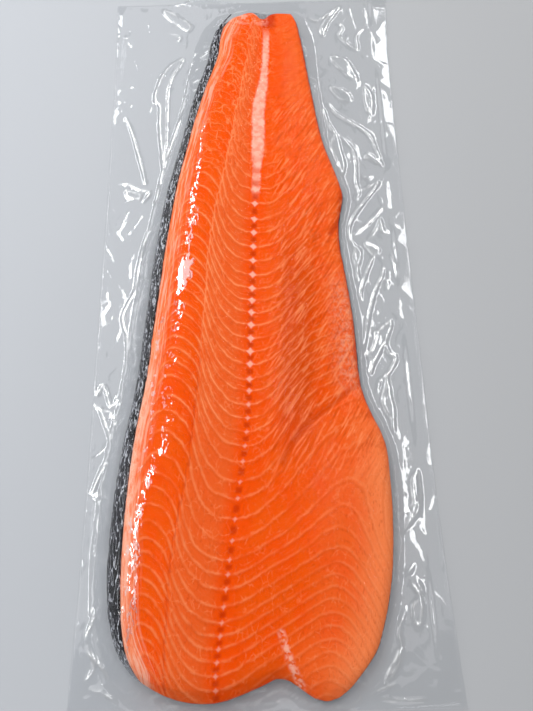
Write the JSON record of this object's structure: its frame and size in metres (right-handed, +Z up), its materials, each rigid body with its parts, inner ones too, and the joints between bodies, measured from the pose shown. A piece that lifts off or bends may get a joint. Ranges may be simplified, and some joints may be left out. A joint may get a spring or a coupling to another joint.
{
  "type": "vacuum-packed salmon fillet",
  "caption": "Side of salmon lying flesh side up on its skin, sealed flat in a clear vacuum bag whose loose film margins lie round it.",
  "frame": {"origin": "centre of the pack's underside, on the surface that it lies on", "axes": "+Z up, flesh side up; +Y to the tail; +X to the belly, -X to the back of the fish"},
  "size_m": [0.25, 0.606, 0.0315],
  "materials": {
    "salmon_flesh": "moist, satin",
    "salmon_skin": "scaled, wet",
    "clear_film": "thin clear film"
  },
  "bodies": {
    "root": {"fillet_flesh": "salmon_flesh", "fillet_skin": "salmon_skin", "vacuum_bag": "clear_film"}
  },
  "joints": []
}
